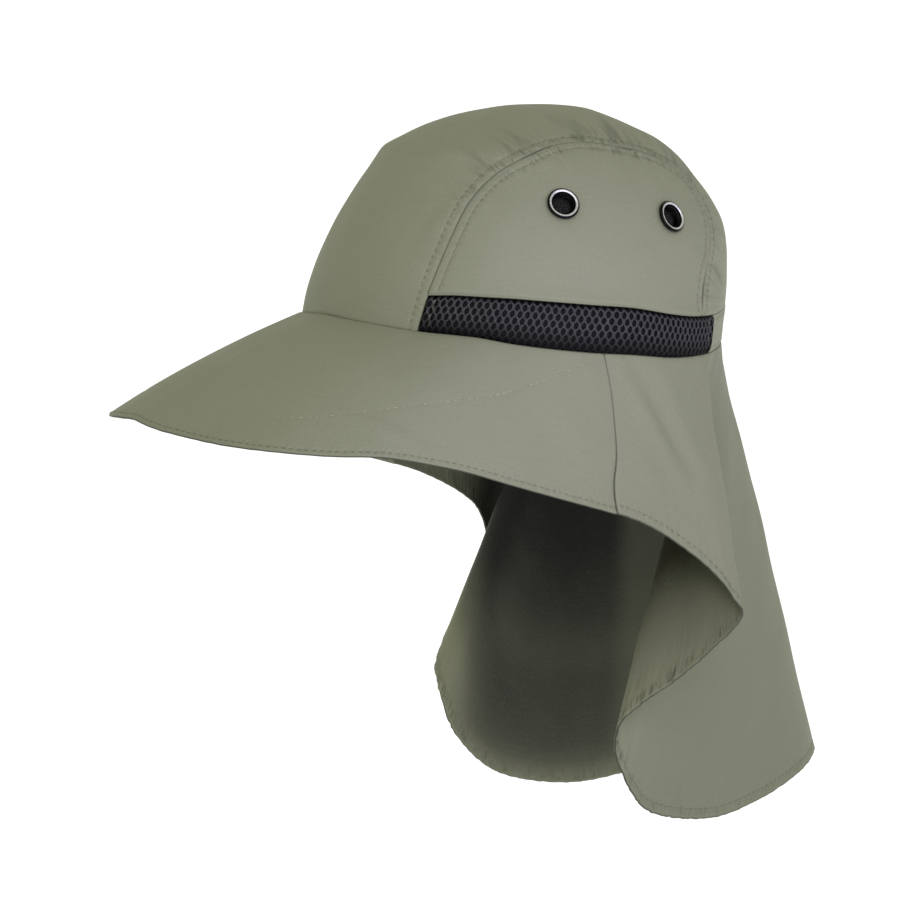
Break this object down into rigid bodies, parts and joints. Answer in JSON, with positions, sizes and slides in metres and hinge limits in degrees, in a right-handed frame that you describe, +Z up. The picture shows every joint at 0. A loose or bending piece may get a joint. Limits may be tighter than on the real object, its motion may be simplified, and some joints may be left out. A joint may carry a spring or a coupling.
{
  "type": "legionnaire cap",
  "caption": "Sun cap with a rounded crown, side panels with eyelets, padded mesh bands over the ears, a wide soft-sided brim and a neck cape with a fold behind each ear.",
  "frame": {"origin": "middle of the head opening, level with the seam over the ears", "axes": "+Z up through the crown, -Y out through the brim's front, +X towards the wearer's left ear"},
  "size_m": [0.2245, 0.3506, 0.326],
  "materials": {
    "cloth": "matt woven nylon, olive grey",
    "mesh": "matt knitted mesh, near black",
    "ring": "semi-gloss black enamel"
  },
  "bodies": {
    "root": {"crown_panel": "cloth", "side_panel_left": "cloth", "side_panel_right": "cloth", "rear_band": "cloth", "brim": "cloth", "neck_cape": "cloth", "mesh_band_left": "mesh", "mesh_band_right": "mesh", "eyelet_mesh_left_front": "mesh", "eyelet_mesh_left_rear": "mesh", "eyelet_mesh_right_front": "mesh", "eyelet_mesh_right_rear": "mesh", "eyelet_left_front": "ring", "eyelet_left_rear": "ring", "eyelet_right_front": "ring", "eyelet_right_rear": "ring"}
  },
  "joints": []
}
